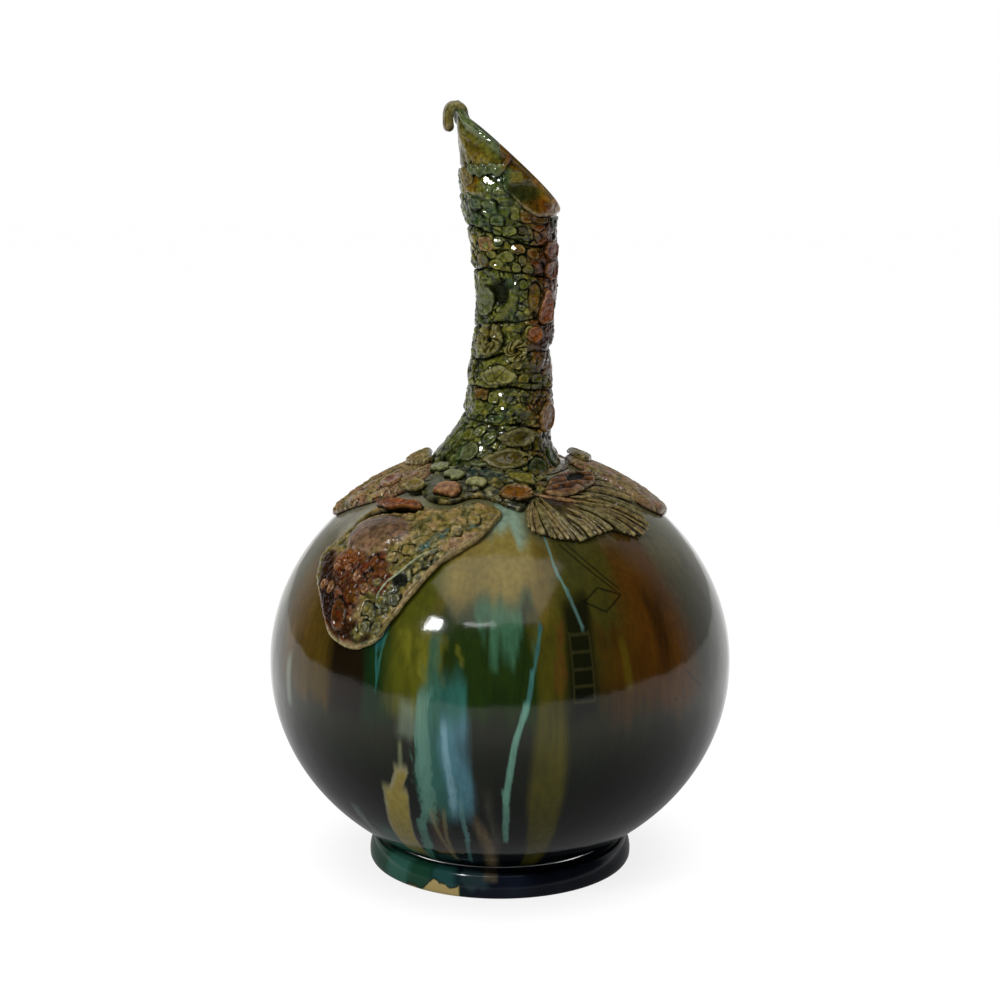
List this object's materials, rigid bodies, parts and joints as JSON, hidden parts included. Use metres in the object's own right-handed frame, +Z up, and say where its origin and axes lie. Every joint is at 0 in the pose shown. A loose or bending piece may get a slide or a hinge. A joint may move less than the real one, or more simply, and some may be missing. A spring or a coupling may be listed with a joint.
{
  "type": "stoneware vase",
  "caption": "Stoneware bottle vase with a round body, a turned foot and a tall leaning neck clad in scaled clay slabs, opening in a slanting beak-shaped mouth.",
  "frame": {"origin": "centre of the foot on the surface it stands on", "axes": "+Z up, -Y towards the viewer of the front, +X to the right"},
  "size_m": [0.2316, 0.2316, 0.38],
  "materials": {
    "globe_glaze": "glossy running majolica-type glazes in olive, green, amber and turquoise over stoneware",
    "foot_glaze": "dark blue-green glaze run over a turned buff foot, bare clay at the front edge",
    "mouth_glaze": "glossy green glaze inside the neck and on the rim",
    "neck_skin_glaze": "olive and brown glaze pooled dark in the stamped grooves",
    "leaf_glaze": "thin tan, olive and brown glaze",
    "amber_glaze": "glossy amber brown glaze",
    "slab_glaze": "thin tan and red-brown glaze, dark in the grooves",
    "scale_glaze": "olive rim and amber middle, pooled glossy glaze"
  },
  "bodies": {
    "root": {"beak_curl": "leaf_glaze", "beak_leaf": "leaf_glaze", "big_pebble_band": "neck_skin_glaze", "bright_shard": "scale_glaze", "cream_half_moon": "scale_glaze", "crescent_scale": "scale_glaze", "eye_scale_lower": "scale_glaze", "eye_scale_upper": "scale_glaze", "fan_slab": "slab_glaze", "fold_lip": "leaf_glaze", "folded_leaf": "amber_glaze", "foot_ring": "foot_glaze", "globe_lower_bowl": "globe_glaze", "globe_upper_bowl": "globe_glaze", "green_oval_scale": "scale_glaze", "hollow_band": "neck_skin_glaze", "knobbly_band": "neck_skin_glaze", "left_back_slab": "slab_glaze", "left_oval_scale": "scale_glaze", "left_wing_slab": "slab_glaze", "lens_band": "neck_skin_glaze", "lens_scale": "scale_glaze", "mouth_collar": "amber_glaze", "mustard_pad": "scale_glaze", "neck_tube": "mouth_glaze", "olive_half_moon": "scale_glaze", "orange_ridge": "scale_glaze", "orange_scale": "scale_glaze", "pale_shard": "scale_glaze", "pink_disc": "scale_glaze", "pointed_scale": "scale_glaze", "rear_slab": "slab_glaze", "red_scale_lower": "scale_glaze", "red_scale_upper": "scale_glaze", "right_back_slab": "slab_glaze", "right_edge_oval": "scale_glaze", "root_band": "neck_skin_glaze", "root_flap_left": "slab_glaze", "root_flap_right": "slab_glaze", "root_skirt": "slab_glaze", "rosette_band": "neck_skin_glaze", "rosette_left": "scale_glaze", "rosette_right": "scale_glaze", "round_scale_inner": "scale_glaze", "round_scale_outer": "scale_glaze", "shell_scale": "scale_glaze", "small_pebble_band": "neck_skin_glaze", "square_scale": "scale_glaze"}
  },
  "joints": []
}
